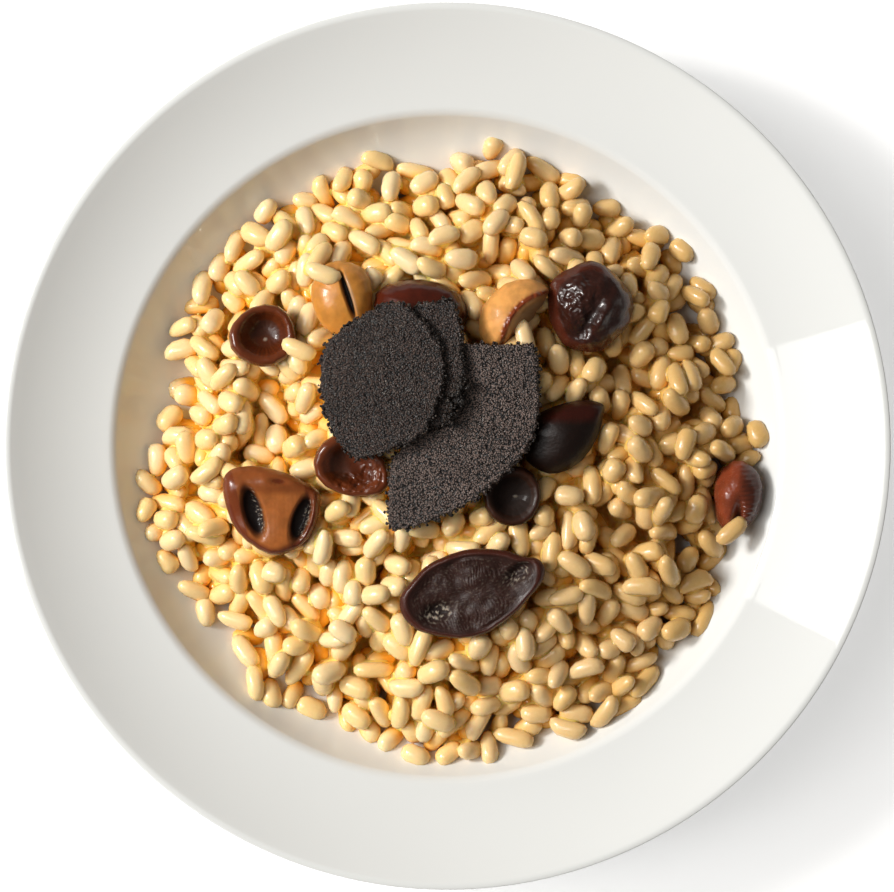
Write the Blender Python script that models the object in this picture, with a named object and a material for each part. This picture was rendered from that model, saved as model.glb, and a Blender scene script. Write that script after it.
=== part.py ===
"""A mushroom risotto in its rimmed porcelain plate, with sliced black truffle on top.

Every piece is one closed solid at its real size, in metres, with +Z up. The origin is the centre of the
plate's foot, on the table. +X is to the right and +Y to the back when the plate stands before its eater.
"""

import math

import bmesh
import bpy
from mathutils import Euler, Matrix, Vector, noise

MM = 0.001
GAP = 0.35 * MM  # clear of a neighbour that a piece rests on
MERGE = 0.002 * MM
SECTORS = 48  # round the plate and the heap, so that their facets line up

# The plate: a wide rim round a deep well, on a turned foot.
PLATE_RADIUS = 125 * MM
WALL = 4.4 * MM
FLOOR_RADIUS = 56 * MM
FLOOR_HEIGHT = 7 * MM
WELL_RADIUS = 94.8 * MM
WELL_DEPTH = 20.5 * MM
WELL_FULLNESS = 0.93  # share of a quarter ellipse that the well's wall follows
RIM_WIDTH = PLATE_RADIUS - WELL_RADIUS
RIM_SLOPE = 0.16  # rise over run where the rim leaves the well
RIM_LIFT = 5.4 * MM  # extra rise at the lip, as the rim curls up
FOOT_RADIUS = 66 * MM
FOOT_WIDTH = 5 * MM
FOOT_HEIGHT = 3 * MM
WELL_STEPS = 6
RIM_STEPS = 3
LIP_STEPS = 3

# The heap of rice: a low mound that leans towards the front right of the well.
HEAP_RADIUS = 88.3 * MM
HEAP_LEAN = 3.4 * MM
HEAP_LEAN_ANGLE = math.radians(-42)
HEAP_LOBES = ((5, 0.9 * MM, 0.4), (9, 0.8 * MM, 2.1), (14, 0.9 * MM, 0.9))  # count, height, turn
HEAP_TOP = 41 * MM
HEAP_FALL = 13 * MM  # from the crown to the shoulder
HEAP_SHOULDER = 9  # the higher, the squarer the shoulder
CLUMP_SIZE = 19 * MM
CLUMP_HEIGHT = 3.4 * MM
HEAP_RINGS = 11

# Mushrooms and truffle shavings.
SIDES = 16  # round a mushroom
STEPS_PER_POINT = 2  # round an outline given by points
SHAVING_THICKNESS = 1.8 * MM
STACK_BOTTOM = 43.9 * MM  # underside of the lowest shaving at the middle of the stack
STACK_MIDDLE = (-6 * MM, 10 * MM)
STACK_DROOP = 1.8  # fall per metre squared from the middle of the stack


def plate_height(radius):
    """Height of the plate's upper surface at this distance from its middle."""
    if radius <= FLOOR_RADIUS:
        return FLOOR_HEIGHT
    if radius <= WELL_RADIUS:
        share = WELL_FULLNESS * (radius - FLOOR_RADIUS) / (WELL_RADIUS - FLOOR_RADIUS)
        whole = 1 - math.sqrt(1 - WELL_FULLNESS**2)
        return FLOOR_HEIGHT + WELL_DEPTH * (1 - math.sqrt(1 - share**2)) / whole
    along = (radius - WELL_RADIUS) / RIM_WIDTH
    return FLOOR_HEIGHT + WELL_DEPTH + RIM_WIDTH * RIM_SLOPE * along + RIM_LIFT * along**2


def steps_between(start, end, count):
    """Evenly spaced values after start, up to and with end."""
    return [start + (end - start) * i / count for i in range(1, count + 1)]


WELL_RADII = [FLOOR_RADIUS, *steps_between(FLOOR_RADIUS, WELL_RADIUS, WELL_STEPS)]


def bed_height(radius):
    """Height of the rice's underside, a gap over the facets of the well."""
    if radius <= FLOOR_RADIUS:
        return FLOOR_HEIGHT + GAP
    for inner, outer in zip(WELL_RADII, WELL_RADII[1:]):
        if radius <= outer:
            share = (radius - inner) / (outer - inner)
            return plate_height(inner) * (1 - share) + plate_height(outer) * share + GAP
    return plate_height(radius) + GAP


def plate_profile():
    """The plate's half section, from the axis over the top, round the lip and back under the foot."""
    centre_line = PLATE_RADIUS - WALL / 2
    upper = [0, *WELL_RADII, *steps_between(WELL_RADIUS, centre_line, RIM_STEPS)]
    top = [(radius, plate_height(radius)) for radius in upper]
    lip_middle = plate_height(centre_line) - WALL / 2
    lip = []
    for i in range(1, LIP_STEPS + 1):
        angle = math.pi / 2 - math.pi * i / (LIP_STEPS + 1)
        lip.append((centre_line + WALL / 2 * math.cos(angle), lip_middle + WALL / 2 * math.sin(angle)))
    under = []
    for radius in reversed(upper):
        slope = (plate_height(radius + MM) - plate_height(radius - MM)) / (2 * MM)
        lean = math.atan(slope)
        spot = (radius + WALL * math.sin(lean), plate_height(radius) - WALL * math.cos(lean))
        if FOOT_RADIUS + 2 * MM < spot[0] < centre_line:
            under.append(spot)
    inside = FOOT_RADIUS - FOOT_WIDTH
    foot = [
        (FOOT_RADIUS + MM, FOOT_HEIGHT),
        (FOOT_RADIUS, 0),
        (inside, 0),
        (inside - MM, FLOOR_HEIGHT - WALL),
        (0, FLOOR_HEIGHT - WALL),
    ]
    return top + lip + under + foot


def turned(profile, sides):
    """A closed surface of revolution about Z, from a half section that starts and ends on the axis."""
    mesh = bmesh.new()
    points = [mesh.verts.new((radius, 0, height)) for radius, height in profile]
    edges = [mesh.edges.new(pair) for pair in zip(points, points[1:])]
    bmesh.ops.spin(
        mesh,
        geom=points + edges,
        axis=(0, 0, 1),
        cent=(0, 0, 0),
        angle=math.tau,
        steps=sides,
        use_merge=True,
    )
    bmesh.ops.remove_doubles(mesh, verts=mesh.verts, dist=MERGE)
    bmesh.ops.recalc_face_normals(mesh, faces=mesh.faces)
    return mesh


def reshape(mesh, rule):
    """Moves every point to where the rule sends it."""
    for vert in mesh.verts:
        vert.co = rule(vert.co.copy())
    return mesh


def material(name, colour, roughness):
    """A Principled surface of one colour."""
    made = bpy.data.materials.get(name)
    if made is None:
        made = bpy.data.materials.new(name)
        made.use_nodes = True
        shader = made.node_tree.nodes["Principled BSDF"]
        shader.inputs["Base Color"].default_value = (*colour, 1)
        shader.inputs["Roughness"].default_value = roughness
        shader.inputs["Metallic"].default_value = 0
        made.diffuse_color = (*colour, 1)
    return made


def finish(name, mesh, surface):
    """Turns a bmesh into a named, smooth-shaded object in the scene."""
    data = bpy.data.meshes.new(name)
    mesh.to_mesh(data)
    mesh.free()
    data.shade_smooth()
    data.set_sharp_from_angle(angle=math.radians(40))
    obj = bpy.data.objects.new(name, data)
    bpy.context.scene.collection.objects.link(obj)
    obj.data.materials.append(surface)
    return obj


def as_cutter(obj):
    """Keeps an object as a helper only."""
    obj.hide_render = True
    obj.display_type = "WIRE"
    return obj


def cut(obj, cutter):
    """Takes the cutter's shape out of the object."""
    taken = obj.modifiers.new("cut_" + cutter.name, "BOOLEAN")
    taken.operation = "DIFFERENCE"
    taken.object = as_cutter(cutter)


# The heap of rice


def heap_radius(angle):
    """The heap's uneven outline."""
    radius = HEAP_RADIUS + HEAP_LEAN * math.cos(angle - HEAP_LEAN_ANGLE)
    for count, height, turn in HEAP_LOBES:
        radius += height * math.cos(count * angle + turn)
    return radius


def heap_height(x, y):
    """Height of the rice over the table: a mound with clumps, rolled off at its edge."""
    radius = math.hypot(x, y)
    share = min(1, radius / heap_radius(math.atan2(y, x)))
    clumps = CLUMP_HEIGHT * noise.noise(Vector((x, y, 0)) / CLUMP_SIZE)
    mound = HEAP_TOP - HEAP_FALL * share**2 + clumps
    bed = bed_height(radius)
    return bed + (mound - bed) * math.sqrt(1 - share**HEAP_SHOULDER)


def ring_of(mesh, radius_at, height_at):
    """One ring of points about Z."""
    ring = []
    for i in range(SECTORS):
        angle = math.tau * i / SECTORS
        radius = radius_at(angle)
        x, y = radius * math.cos(angle), radius * math.sin(angle)
        ring.append(mesh.verts.new((x, y, height_at(x, y))))
    return ring


def join_rings(mesh, first, second):
    """Quads between two rings of the same count."""
    for i in range(SECTORS):
        j = (i + 1) % SECTORS
        mesh.faces.new((first[i], first[j], second[j], second[i]))


def close_ring(mesh, ring, height):
    """A fan of triangles from a ring to a point on the axis."""
    middle = mesh.verts.new((0, 0, height))
    for i in range(SECTORS):
        mesh.faces.new((ring[i], ring[(i + 1) % SECTORS], middle))


def rice_heap():
    """The risotto as one solid: its clumped top, and an underside that lies on the well."""
    mesh = bmesh.new()
    top = []
    for i in range(1, HEAP_RINGS + 1):
        share = math.sin(math.pi / 2 * i / HEAP_RINGS) ** 0.8
        top.append(ring_of(mesh, lambda angle, s=share: s * heap_radius(angle), heap_height))
    bed = []
    for radius in WELL_RADII:
        if radius < HEAP_RADIUS - HEAP_LEAN - 4 * MM:
            bed.append(ring_of(mesh, lambda _, r=radius: r, lambda x, y: bed_height(math.hypot(x, y))))
    close_ring(mesh, top[0], heap_height(0, 0))
    for inner, outer in zip(top, top[1:]):
        join_rings(mesh, inner, outer)
    join_rings(mesh, bed[-1], top[-1])
    for inner, outer in zip(bed, bed[1:]):
        join_rings(mesh, inner, outer)
    close_ring(mesh, bed[0], FLOOR_HEIGHT + GAP)
    bmesh.ops.recalc_face_normals(mesh, faces=mesh.faces)
    return mesh


# Outlines: rings of points about the middle of a piece


def oval(length, width, turn=0, lobes=(), sides=SIDES):
    """An oval ring, its length along X before its turn in degrees, with lobes of a count, a share and a turn."""
    ring = []
    for i in range(sides):
        angle = math.tau * i / sides
        share = 1 + sum(size * math.cos(count * (angle - start)) for count, size, start in lobes)
        spot = Vector((length / 2 * math.cos(angle) * share, width / 2 * math.sin(angle) * share))
        ring.append(spot @ Matrix.Rotation(math.radians(-turn), 2))
    return ring


def through(points):
    """A smooth closed ring through points given in millimetres."""
    ring = []
    count = len(points)
    spots = [Vector(point) * MM for point in points]
    for i in range(count):
        before, here, after, beyond = (spots[(i + j) % count] for j in (-1, 0, 1, 2))
        for step in range(STEPS_PER_POINT):
            t = step / STEPS_PER_POINT
            ring.append(
                0.5
                * (
                    2 * here
                    + (after - before) * t
                    + (2 * before - 5 * here + 4 * after - beyond) * t**2
                    + (3 * here - before - 3 * after + beyond) * t**3
                )
            )
    return ring


# Half sections: rows of a share of the outline and a height


def cup_rows(radius, height, hollow, wall):
    """A cap lying on its back: hollow above, round rim, bowl below."""
    rows = [((radius - wall) * t, height - hollow * (1 - t * t)) for t in (0, 0.4, 0.75, 1)]
    for angle in (140, 90, 40):
        turn = math.radians(angle)
        rows.append((radius - wall / 2 + wall / 2 * math.cos(turn), height + wall / 2 * math.sin(turn)))
    for angle in (0, 25, 50, 72, 90):
        turn = math.radians(angle)
        rows.append((radius * math.cos(turn), height * (1 - math.sin(turn))))
    return [(reach / radius, z) for reach, z in rows]


def cap_rows(height, under):
    """A cap lying face up: domed above, with a rolled edge and a shallow underside."""
    rows = []
    for angle in (90, 68, 46, 24, 5):
        turn = math.radians(angle)
        rows.append((math.cos(turn), under + (height - under) * math.sin(turn)))
    return rows + [(0.97, 0.35 * under), (0.8, 0), (0.5, 0.25 * under), (0, 0.3 * under)]


def slab_rows(radius, thickness):
    """A slice lying flat, with round edges."""
    half = thickness / 2
    rows = [(0, half), (0.55, half), (1 - half / radius, half)]
    for angle in (45, 0, -45):
        turn = math.radians(angle)
        rows.append((1 - (half - half * math.cos(turn)) / radius, half * math.sin(turn)))
    return rows + [(1 - half / radius, -half), (0.55, -half), (0, -half)]


def moulded(outline, rows):
    """A closed piece with this outline seen from above, and this half section all round."""
    mesh = bmesh.new()
    rings = []
    for share, height in rows[1:-1]:
        rings.append([mesh.verts.new((spot.x * share, spot.y * share, height)) for spot in outline])
    for first, second in zip(rings, rings[1:]):
        for i, point in enumerate(first):
            j = (i + 1) % len(first)
            mesh.faces.new((point, first[j], second[j], second[i]))
    for ring, height in ((rings[0], rows[0][1]), (rings[-1], rows[-1][1])):
        middle = mesh.verts.new((0, 0, height))
        for i, point in enumerate(ring):
            mesh.faces.new((point, ring[(i + 1) % len(ring)], middle))
    bmesh.ops.recalc_face_normals(mesh, faces=mesh.faces)
    return mesh


def set_down(obj, x, y, lift, lean=(0, 0)):
    """Places a piece on the heap: x and y in millimetres, lift its origin's height over the rice, lean its tilt."""
    spot = Vector((x * MM, y * MM, 0))
    spot.z = heap_height(spot.x, spot.y) + lift * MM
    tilt = Euler((math.radians(lean[0]), math.radians(lean[1]), 0)).to_matrix().to_4x4()
    obj.data.transform(Matrix.Translation(spot) @ tilt)
    return obj


# Mushrooms

BROWN = ("mushroom_brown", (0.09, 0.035, 0.022), 0.3)
TAN = ("mushroom_tan", (0.42, 0.2, 0.08), 0.35)


def brown_piece(name, outline, rows):
    """A dark mushroom of one moulded shape."""
    return finish(name, moulded(outline, rows), material(*BROWN))


def mushroom_cup_left():
    """A small cap on its back at the left, its dish open to the top."""
    outline = oval(19.4 * MM, 17.8 * MM, 20, ((3, 0.03, 1.0),))
    rows = cup_rows(9.3 * MM, 6.6 * MM, 4.2 * MM, 2.4 * MM)
    return set_down(brown_piece("mushroom_cup_left", outline, rows), -52.8, 29.9, -2.6, (-9, 8))


def mushroom_cup_red():
    """A longer cap on its back, half under the round shaving."""
    outline = oval(22.4 * MM, 16.6 * MM, -24, ((3, 0.04, 2.0),))
    rows = cup_rows(8.9 * MM, 6 * MM, 3.8 * MM, 2.2 * MM)
    return set_down(brown_piece("mushroom_cup_red", outline, rows), -26.8, -5.6, -4.4, (4, 0))


def mushroom_cup_shaded():
    """A round cap on its back, at the front of the fan shaving."""
    outline = oval(16.4 * MM, 17 * MM, 0, ((3, 0.02, 1.2),))
    rows = cup_rows(8.3 * MM, 6.2 * MM, 3.6 * MM, 1.8 * MM)
    return set_down(brown_piece("mushroom_cup_shaded", outline, rows), 18.2, -13.8, -5.4, (3, 2))


def mushroom_cap_back():
    """A long cap behind the shavings, its skin tipped to the back."""
    outline = oval(27 * MM, 19 * MM, -6, ((3, 0.02, 0.4),))
    rows = cap_rows(8.4 * MM, 3 * MM)
    return set_down(brown_piece("mushroom_cap_back", outline, rows), -7.6, 37.2, -4.6, (-20, 0))


def mushroom_cap_round():
    """The largest cap, dark and round, with a crease pressed across it."""
    mesh = moulded(oval(24.6 * MM, 26 * MM, 0, ((3, 0.02, 0.3),), SIDES + 4), cap_rows(10 * MM, 4 * MM))

    def creased(point):
        across = (point.x * 0.88 - point.y * 0.48 - 3.2 * MM) / (1.9 * MM)
        along = (point.x * 0.48 + point.y * 0.88) / (7 * MM)
        if point.z > 3 * MM:
            point.z -= 1.6 * MM * math.exp(-(across**2) - along**4)
        return point

    obj = finish("mushroom_cap_round", reshape(mesh, creased), material(*BROWN))
    return set_down(obj, 40.1, 39.9, -3.4, (4, 4))


def mushroom_cap_pointed():
    """A smooth fin of a cap, pointed at the back right, its other end under the fan shaving."""
    points = (
        (10.7, 9.0),
        (5.7, 10.2),
        (-0.3, 9.3),
        (-7.6, 6.1),
        (-12.4, 0),
        (-11.6, -6.4),
        (-7.4, -10.1),
        (-2.2, -10.3),
        (4.1, -6.8),
        (8.6, 0),
        (10.8, 6.3),
    )
    rows = cap_rows(8.2 * MM, 3 * MM)
    obj = brown_piece("mushroom_cap_pointed", through(points), rows)
    return set_down(obj, 33.1, 2.8, -4.4, (0, 2))


def mushroom_cap_long():
    """The long cap at the front: a leaf-shaped dish with a raised rim, nicked beside its point."""
    points = (
        (20.4, 7.2),
        (18.9, 10.6),
        (14.8, 10.6),
        (9.9, 12.3),
        (1.6, 13.0),
        (-7, 11.2),
        (-14.4, 6.8),
        (-19.6, 1.2),
        (-20.2, -4.6),
        (-15.4, -10.6),
        (-4.2, -12.6),
        (4.4, -10.4),
        (12.6, -4.4),
        (18.4, 1.9),
    )
    rows = cup_rows(12 * MM, 5 * MM, 2 * MM, 2.4 * MM)
    return set_down(brown_piece("mushroom_cap_long", through(points), rows), 7.4, -41, -1.6, (7, -3))


def mushroom_rolled():
    """A small cap rolled up like a bean at the right, split at its front end."""
    outline = oval(13.4 * MM, 20.8 * MM, -9, ((3, 0.05, 0.2),))
    obj = brown_piece("mushroom_rolled", outline, cap_rows(11.2 * MM, 5.4 * MM))
    split = slot_cutter("mushroom_rolled_split", (1, -9.6, 9.6), 4, (2.8, 9, 6))
    return set_down(cut_out(obj, [split]), 83.8, -13.8, -4.2, (5, -14))


def slot_cutter(name, spot, turn, size):
    """A lens-shaped cutter, all in millimetres: its middle, its turn about Z and its width, length and depth."""
    mesh = bmesh.new()
    bmesh.ops.create_uvsphere(mesh, u_segments=10, v_segments=6, radius=MM / 2)
    place = Matrix.Translation(Vector(spot) * MM) @ Matrix.Rotation(math.radians(turn), 4, "Z")
    bmesh.ops.transform(mesh, matrix=place @ Matrix.Diagonal((*size, 1)), verts=mesh.verts)
    return finish(name, mesh, material(*BROWN))


def cut_out(obj, cutters):
    """Cuts the cutters out of an object and settles the result into its mesh."""
    for cutter in cutters:
        cut(obj, cutter)
    bpy.context.view_layer.update()
    graph = bpy.context.evaluated_depsgraph_get()
    data = bpy.data.meshes.new_from_object(obj.evaluated_get(graph))
    obj.modifiers.clear()
    obj.data = data
    return obj


def mushroom_slice_gilled():
    """The thick slice at the left, cut through cap and stem, with its two gill slots open."""
    points = (
        (13.2, 5.2),
        (8.4, 7.9),
        (3.4, 10.6),
        (-3.2, 12.2),
        (-9.9, 12),
        (-13.6, 9.4),
        (-13.6, 3.9),
        (-11.6, -2.7),
        (-7.4, -9.4),
        (-0.7, -12.9),
        (5.1, -12),
        (10.2, -7.8),
        (13.2, -0.6),
    )
    name = "mushroom_slice_gilled"
    obj = finish(name, moulded(through(points), slab_rows(13 * MM, 7 * MM)), material(*TAN))
    left = slot_cutter(name + "_left", (-6.2, -0.9, 3.5), 14, (4.2, 12.6, 6))
    right = slot_cutter(name + "_right", (6.6, -2.6, 3.5), -10, (4.2, 12, 6))
    return set_down(cut_out(obj, [left, right]), -49.2, -17.9, 1.8, (6, 4))


def mushroom_slice_upper():
    """The tan slice at the upper left, with one gill slot showing."""
    name = "mushroom_slice_upper"
    outline = oval(17.6 * MM, 21.6 * MM, 6, ((3, 0.03, 0.5),))
    obj = finish(name, moulded(outline, slab_rows(9.4 * MM, 6 * MM)), material(*TAN))
    slot = slot_cutter(name + "_slot", (2.6, 1, 3), 14, (3, 14.6, 6))
    return set_down(cut_out(obj, [slot]), -29.6, 41.9, 0.4, (-5, -6))


def mushroom_crescent():
    """Half of a pale cap on its cut face, its skin turned to the back left."""
    mesh = moulded(oval(23.6 * MM, 21 * MM), cap_rows(9.4 * MM, 3.2 * MM))
    whole = mesh.verts[:] + mesh.edges[:] + mesh.faces[:]
    half = bmesh.ops.bisect_plane(
        mesh, geom=whole, plane_co=(0, -1 * MM, 0), plane_no=(0, -1, 0), clear_outer=True
    )
    rim = [part for part in half["geom_cut"] if isinstance(part, bmesh.types.BMEdge)]
    bmesh.ops.edgeloop_fill(mesh, edges=rim)
    bmesh.ops.recalc_face_normals(mesh, faces=mesh.faces)
    obj = finish("mushroom_crescent", mesh, material(*TAN))
    turn = Matrix.Rotation(math.radians(46), 4, "Z") @ Matrix.Rotation(math.radians(24), 4, "X")
    obj.data.transform(turn)
    return set_down(obj, 18.9, 36.9, -3.6)


# Truffle shavings


def shaving(name, middle, layer, points):
    """A thin shaving about its middle in millimetres, in its layer of the stack, counted from below."""
    mesh = moulded(through(points), slab_rows(18 * MM, SHAVING_THICKNESS))
    place = Vector((middle[0] * MM, middle[1] * MM, 0))
    base = STACK_BOTTOM + SHAVING_THICKNESS / 2 + layer * (SHAVING_THICKNESS + GAP)

    def drooping(point):
        spot = point + place
        away = (spot.x - STACK_MIDDLE[0]) ** 2 + (spot.y - STACK_MIDDLE[1]) ** 2
        return Vector((spot.x, spot.y, spot.z + base - STACK_DROOP * away))

    return finish(name, reshape(mesh, drooping), material("truffle_black", (0.03, 0.025, 0.022), 0.7))


def truffle_shavings():
    """The fan-shaped shaving, the one that is mostly hidden, and the round one on top."""
    fan = (
        (-5.4, 22.5),
        (5.6, 22.3),
        (14.9, 22.5),
        (16.2, 14.1),
        (16.9, 6.8),
        (15.2, -2.2),
        (11.8, -8.6),
        (2.8, -17.5),
        (-5.6, -23.2),
        (-15.4, -27.4),
        (-24.6, -29.4),
        (-25.6, -21.2),
        (-24.6, -9),
        (-16.9, -3),
        (-9.4, 0),
        (-7, 6),
        (-6.5, 14.1),
    )
    behind = (
        (-3.6, 17.2),
        (1.6, 17.4),
        (5.9, 18.2),
        (8.2, 11.4),
        (8.6, 2.6),
        (9.4, -5.6),
        (5.6, -14.4),
        (1, -17.4),
        (-5.6, -14),
        (-9.6, -4),
        (-8.6, 8),
    )
    on_top = (
        (4.6, 20.9),
        (12.9, 13.6),
        (17.2, 3.7),
        (15.6, -5.6),
        (11.6, -15.2),
        (4.5, -19.2),
        (-7.3, -22.8),
        (-13.8, -16.2),
        (-16.6, -7.6),
        (-17.4, 1.8),
        (-15.8, 9.6),
        (-10.6, 14),
        (-3.4, 18.6),
    )
    return [
        shaving("truffle_slice_fan", (9.2, 5.8), 0, fan),
        shaving("truffle_slice_back", (-4.4, 22.4), 1, behind),
        shaving("truffle_slice_round", (-17.7, 19.1), 2, on_top),
    ]


# The whole dish


def bed_of(obj, margin):
    """A topping's bed in the rice: its hull, with the skin moved out by the margin."""
    mesh = bmesh.new()
    for vert in obj.data.vertices:
        mesh.verts.new(vert.co)
    bmesh.ops.convex_hull(mesh, input=mesh.verts)
    bmesh.ops.delete(mesh, geom=[vert for vert in mesh.verts if not vert.link_faces])
    bmesh.ops.recalc_face_normals(mesh, faces=mesh.faces)
    mesh.normal_update()
    for vert, outward in [(vert, vert.normal.copy()) for vert in mesh.verts]:
        vert.co += outward * margin
    return finish(obj.name + "_bed", mesh, material(*BROWN))


def main():
    for obj in list(bpy.data.objects):
        bpy.data.objects.remove(obj)
    finish("plate", turned(plate_profile(), SECTORS), material("glaze", (0.9, 0.89, 0.86), 0.12))
    rice = finish("risotto", rice_heap(), material("rice_cream", (0.85, 0.66, 0.3), 0.35))
    mushrooms = [
        mushroom_cup_left(),
        mushroom_cup_red(),
        mushroom_cup_shaded(),
        mushroom_cap_back(),
        mushroom_cap_round(),
        mushroom_cap_pointed(),
        mushroom_cap_long(),
        mushroom_slice_gilled(),
        mushroom_slice_upper(),
        mushroom_crescent(),
        mushroom_rolled(),
    ]
    for piece in mushrooms + truffle_shavings():
        cut(rice, bed_of(piece, GAP))


main()
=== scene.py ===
import math

import bpy
import numpy as np
from mathutils import Euler, Matrix, Vector, noise
from mathutils.bvhtree import BVHTree


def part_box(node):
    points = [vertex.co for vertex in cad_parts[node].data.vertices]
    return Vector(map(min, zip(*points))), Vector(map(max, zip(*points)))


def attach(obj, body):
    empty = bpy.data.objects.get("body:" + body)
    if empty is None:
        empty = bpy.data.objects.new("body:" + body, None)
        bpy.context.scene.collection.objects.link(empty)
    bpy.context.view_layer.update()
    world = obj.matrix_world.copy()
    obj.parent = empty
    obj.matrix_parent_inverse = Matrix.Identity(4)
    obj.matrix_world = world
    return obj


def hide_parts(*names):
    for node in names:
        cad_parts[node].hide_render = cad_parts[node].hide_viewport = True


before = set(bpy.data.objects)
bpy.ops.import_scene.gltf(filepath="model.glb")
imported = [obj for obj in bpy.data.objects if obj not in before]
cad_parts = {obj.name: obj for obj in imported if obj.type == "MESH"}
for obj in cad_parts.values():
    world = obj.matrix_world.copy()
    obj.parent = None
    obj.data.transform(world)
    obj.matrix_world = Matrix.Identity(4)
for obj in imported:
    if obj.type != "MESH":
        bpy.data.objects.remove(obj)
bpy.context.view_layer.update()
mm = 0.001

# ---------- small helpers


def deselectAll():
    if bpy.context.object and bpy.context.object.mode != "OBJECT":
        bpy.ops.object.mode_set(mode="OBJECT")
    bpy.ops.object.select_all(action="DESELECT")


def pick(piece):  # makes a piece the only selected and active one
    deselectAll()
    piece.select_set(True)
    bpy.context.view_layer.objects.active = piece
    return piece


def named(name):
    piece = bpy.context.object
    piece.name = name
    piece.data.name = name
    return piece


def applyModifier(piece, kind, **settings):
    pick(piece)
    modifier = piece.modifiers.new(kind.lower(), kind)
    for key, value in settings.items():
        setattr(modifier, key, value)
    bpy.ops.object.modifier_apply(modifier=modifier.name)


def editSelected(piece, chosen):  # enters edit mode with these points selected
    pick(piece)
    bpy.ops.object.mode_set(mode="EDIT")
    bpy.ops.mesh.select_mode(type="VERT")
    bpy.ops.mesh.select_all(action="DESELECT")
    bpy.ops.object.mode_set(mode="OBJECT")
    for vert in piece.data.vertices:
        vert.select = bool(chosen(vert))
    bpy.ops.object.mode_set(mode="EDIT")


def built(name, points, edges, faces):  # a new object from lists
    mesh = bpy.data.meshes.new(name)
    mesh.from_pydata(points, edges, faces)
    piece = bpy.data.objects.new(name, mesh)
    bpy.context.scene.collection.objects.link(piece)
    return piece


def store(piece, name, values):  # one number on every vertex, for the material
    attribute = piece.data.attributes.new(name, "FLOAT", "POINT")
    attribute.data.foreach_set("value", values.astype(np.float32))


def pointsOf(piece):
    points = np.empty(len(piece.data.vertices) * 3)
    piece.data.vertices.foreach_get("co", points)
    return points.reshape(-1, 3)


def movePoints(piece, points):
    piece.data.vertices.foreach_set("co", np.ascontiguousarray(points, dtype=np.float32).ravel())
    piece.data.update()


def keep(piece, material, slot, *replaced):  # the last step of every piece
    piece.data.materials.clear()
    piece.data.materials.append(material)
    pick(piece)
    bpy.ops.object.shade_smooth()
    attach(piece, "root")
    if replaced:
        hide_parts(*replaced)
    return piece


# ---------- materials


class Wire:  # a node's socket that does its own maths
    def __init__(self, paint, socket):
        self.paint, self.socket = paint, socket

    def maths(self, operation, first, second):
        return self.paint.node("Math", {"operation": operation}, {0: first, 1: second})

    def __add__(self, other):
        return self.maths("ADD", self, other)

    def __radd__(self, other):
        return self.maths("ADD", other, self)

    def __rsub__(self, other):
        return self.maths("SUBTRACT", other, self)

    def __mul__(self, other):
        return self.maths("MULTIPLY", self, other)


class Paint:  # one Principled material and its nodes
    def __init__(self, name, **fixed):
        self.material = bpy.data.materials.new(name)
        self.material.use_nodes = True
        self.tree = self.material.node_tree
        self.shader = self.tree.nodes["Principled BSDF"]
        for key, value in fixed.items():
            self.shader.inputs[key.replace("_", " ")].default_value = value
        self.place = self.node("TexCoord", {}, {}, "Object")

    def node(self, kind, settings, values, output=0):
        made = self.tree.nodes.new("ShaderNode" + kind)
        for key, value in settings.items():
            setattr(made, key, value)
        for key, value in values.items():
            if isinstance(value, Wire):
                self.tree.links.new(value.socket, made.inputs[key])
            else:
                made.inputs[key].default_value = value
        return Wire(self, made.outputs[output])

    def noise(self, size, detail):  # size in metres
        return self.node("TexNoise", {}, {"Vector": self.place, "Scale": 1 / size, "Detail": detail})

    def cells(self, size):
        return self.node("TexVoronoi", {"feature": "F1"}, {"Vector": self.place, "Scale": 1 / size})

    def ranged(self, value, low, high, toLow=0.0, toHigh=1.0):
        values = {"Value": value, "From Min": low, "From Max": high, "To Min": toLow, "To Max": toHigh}
        return self.node("MapRange", {"clamp": True}, values)

    def blend(self, share, first, second):
        values = {0: share}
        for socket, colour in ((6, first), (7, second)):
            values[socket] = colour if isinstance(colour, Wire) else (*colour, 1)
        return self.node("Mix", {"data_type": "RGBA"}, values, 2)

    def attribute(self, name):
        return self.node("Attribute", {"attribute_name": name}, {}, "Fac")

    def xyz(self, axis):
        return self.node("SeparateXYZ", {}, {"Vector": self.place}, axis)

    def bump(self, height, distance, strength):
        values = {"Height": height, "Distance": distance, "Strength": strength}
        return self.node("Bump", {}, values, "Normal")

    def finish(self, **links):
        for key, value in links.items():
            self.tree.links.new(value.socket, self.shader.inputs[key.replace("_", " ")])
        return self.material


# ---------- camera, floor and light

camera = dict(height=900 * mm, fill=0.991, sensor=36.0)
window = dict(azimuth=175, away=2.2, low=31, high=76, spread=43.5, watts=212, colour=(1, 0.995, 0.975))
key = dict(azimuth=165, away=1.0, height=0.77, size=0.26, watts=12, colour=(1, 0.98, 0.95))
sky = dict(strength=0.14, colour=(1.0, 0.95, 0.89))


def lampAt(name, size, place, outward, settings):
    lamp = bpy.data.lights.new(name, "AREA")
    lamp.shape = "RECTANGLE"
    lamp.size, lamp.size_y = size
    lamp.energy, lamp.color = settings["watts"], settings["colour"]
    holder = bpy.data.objects.new(name, lamp)
    holder.location = place
    holder.rotation_euler = outward.to_track_quat("Z", "Y").to_euler()
    bpy.context.scene.collection.objects.link(holder)


def bearing(settings):
    azimuth = math.radians(settings["azimuth"])
    return Vector((math.cos(azimuth), math.sin(azimuth), 0))


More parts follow.
